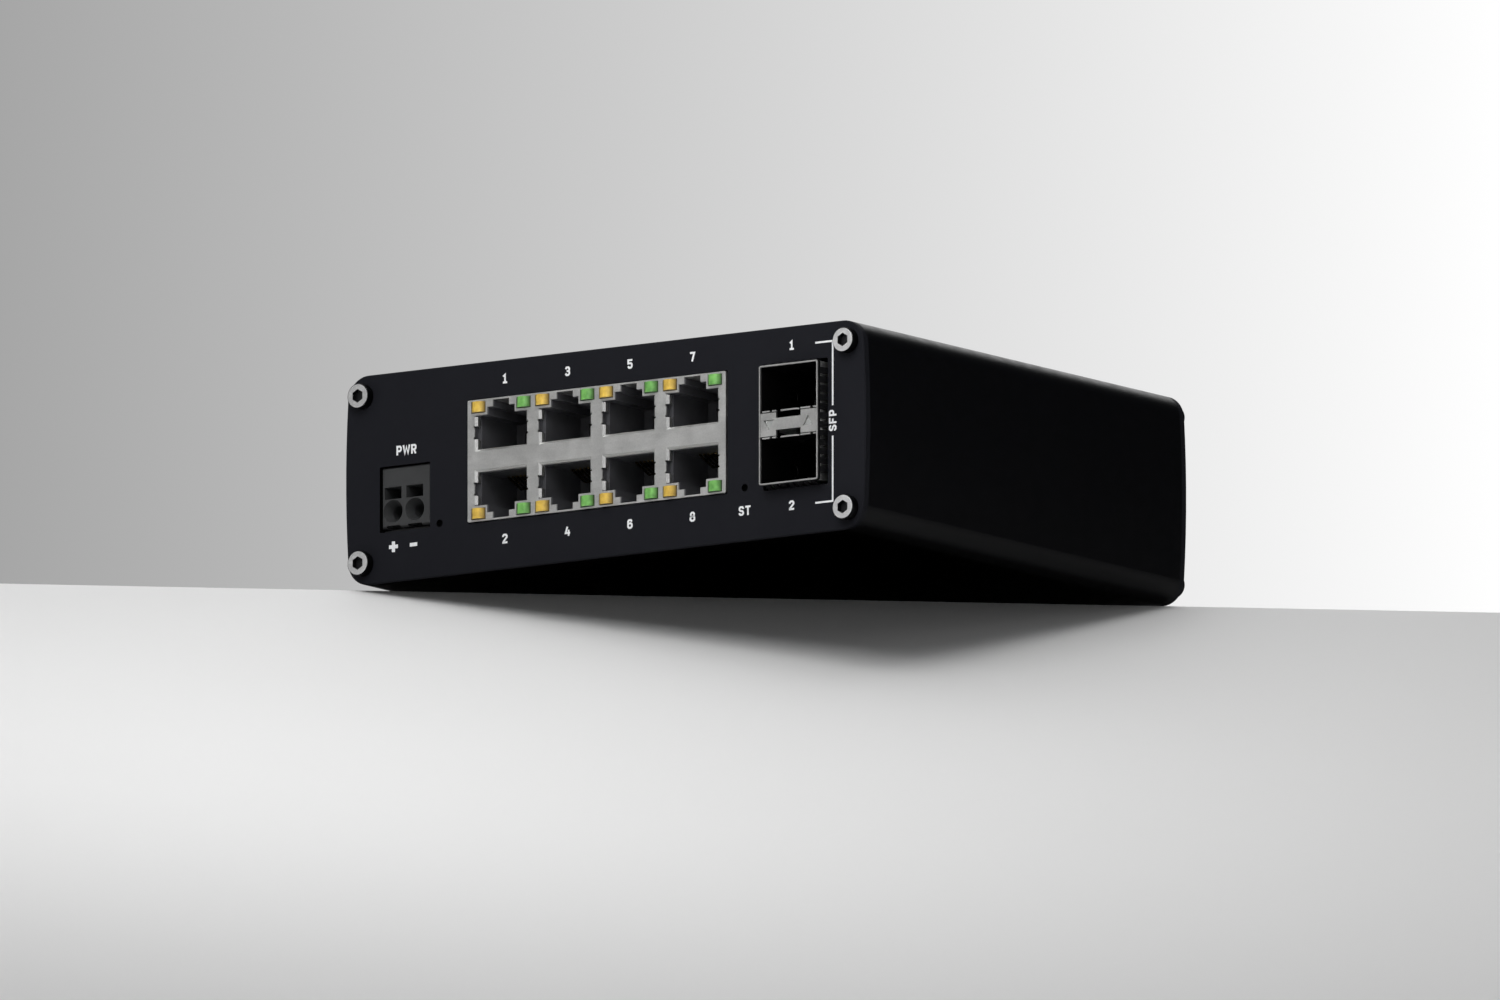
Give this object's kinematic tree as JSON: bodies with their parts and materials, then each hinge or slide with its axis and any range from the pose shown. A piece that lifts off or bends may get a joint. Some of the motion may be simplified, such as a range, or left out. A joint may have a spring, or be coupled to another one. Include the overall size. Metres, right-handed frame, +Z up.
{
  "type": "compact network switch",
  "caption": "Compact metal-cased network switch with stacked copper ports, a stacked module cage and a pull-off push-in power plug on its front panel.",
  "frame": {"origin": "centre of the flat base", "axes": "+X to the right seen from the front, +Y from the front panel to the rear panel, +Z up"},
  "size_m": [0.132, 0.1232, 0.0442],
  "materials": {
    "black_coat": "matt black anodised aluminium",
    "panel_coat": "matt black coated aluminium",
    "screw_steel": "zinc-plated steel",
    "board_green": "green solder mask",
    "tinned_steel": "bright tinned sheet",
    "cage_steel": "nickel-plated sheet",
    "gasket_steel": "spring steel strip",
    "spring_steel": "stainless spring strip",
    "gold_contact": "gold-plated contact",
    "tinned_brass": "tin-plated brass",
    "jack_plastic": "black moulded plastic",
    "connector_plastic": "black moulded plastic",
    "plug_plastic": "dark grey moulded plastic",
    "lamp_amber": "amber tinted light pipe",
    "lamp_green": "green tinted light pipe",
    "lamp_chip": "white lamp chip",
    "clear_pipe": "clear light pipe",
    "smoked_pipe": "smoked light pipe",
    "chip_epoxy": "black moulding compound",
    "solder_tin": "solder",
    "pad_silicone": "blue-grey thermal pad",
    "sink_aluminium": "extruded aluminium",
    "can_aluminium": "drawn aluminium can",
    "ferrite": "pressed ferrite",
    "ceramic_tan": "ceramic body with tinned ends"
  },
  "bodies": {
    "case": {"housing_shell": "black_coat", "front_panel": "panel_coat", "rear_panel": "panel_coat", "front_screws": "screw_steel", "rear_screws": "screw_steel", "main_board": "board_green", "jack_shield": "tinned_steel", "jack_contacts_upper": "gold_contact", "jack_contacts_lower": "gold_contact", "jack_core_1": "jack_plastic", "jack_core_2": "jack_plastic", "jack_core_3": "jack_plastic", "jack_core_4": "jack_plastic", "port_lamps_amber": "lamp_amber", "port_lamps_green": "lamp_green", "sfp_cage": "cage_steel", "sfp_divider": "cage_steel", "sfp_light_pipes": "clear_pipe", "sfp_gasket": "gasket_steel", "sfp_connectors": "connector_plastic", "sfp_contacts": "gold_contact", "terminal_header": "connector_plastic", "terminal_pins": "tinned_brass", "lamp_pipes": "smoked_pipe", "board_lamps": "lamp_chip", "switch_chip": "chip_epoxy", "chip_leads": "solder_tin", "thermal_pad": "pad_silicone", "heatsink": "sink_aluminium", "power_inductor": "ferrite", "input_capacitors": "can_aluminium", "surge_diode": "chip_epoxy", "regulator_chip": "chip_epoxy", "flash_chip": "chip_epoxy", "crystal": "can_aluminium", "chip_capacitors": "ceramic_tan", "ground_screw": "screw_steel", "ground_washer": "screw_steel", "ground_nut": "screw_steel"},
    "plug": {"plug_body": "plug_plastic", "plug_contacts": "tinned_brass", "clamp_pins": "screw_steel"},
    "tongue_plus": {"clamp_tongue_plus": "spring_steel"},
    "tongue_minus": {"clamp_tongue_minus": "spring_steel"},
    "latch_upper": {"sfp_latch_upper": "cage_steel"},
    "latch_lower": {"sfp_latch_lower": "cage_steel"}
  },
  "joints": [
    {"name": "plug_pull", "type": "slide", "parent": "case", "child": "plug", "axis": [0, -1, 0], "range_m": [0, 0.024]},
    {"name": "tongue_plus_press", "type": "hinge", "parent": "plug", "child": "tongue_plus", "pos_m": [-0.05425, -0.05, 0.0208], "axis": [1, 0, 0], "range_deg": [0, 20], "stiffness_Nm_per_rad": 0.1},
    {"name": "tongue_minus_press", "type": "hinge", "parent": "plug", "child": "tongue_minus", "pos_m": [-0.04875, -0.05, 0.0208], "axis": [1, 0, 0], "range_deg": [0, 20], "stiffness_Nm_per_rad": 0.1},
    {"name": "latch_upper_flex", "type": "hinge", "parent": "case", "child": "latch_upper", "pos_m": [0.04827, -0.0467, 0.0262], "axis": [1, 0, 0], "range_deg": [0, 5], "stiffness_Nm_per_rad": 0.05},
    {"name": "latch_lower_flex", "type": "hinge", "parent": "case", "child": "latch_lower", "pos_m": [0.04827, -0.0467, 0.0206], "axis": [-1, 0, 0], "range_deg": [0, 5], "stiffness_Nm_per_rad": 0.05}
  ]
}
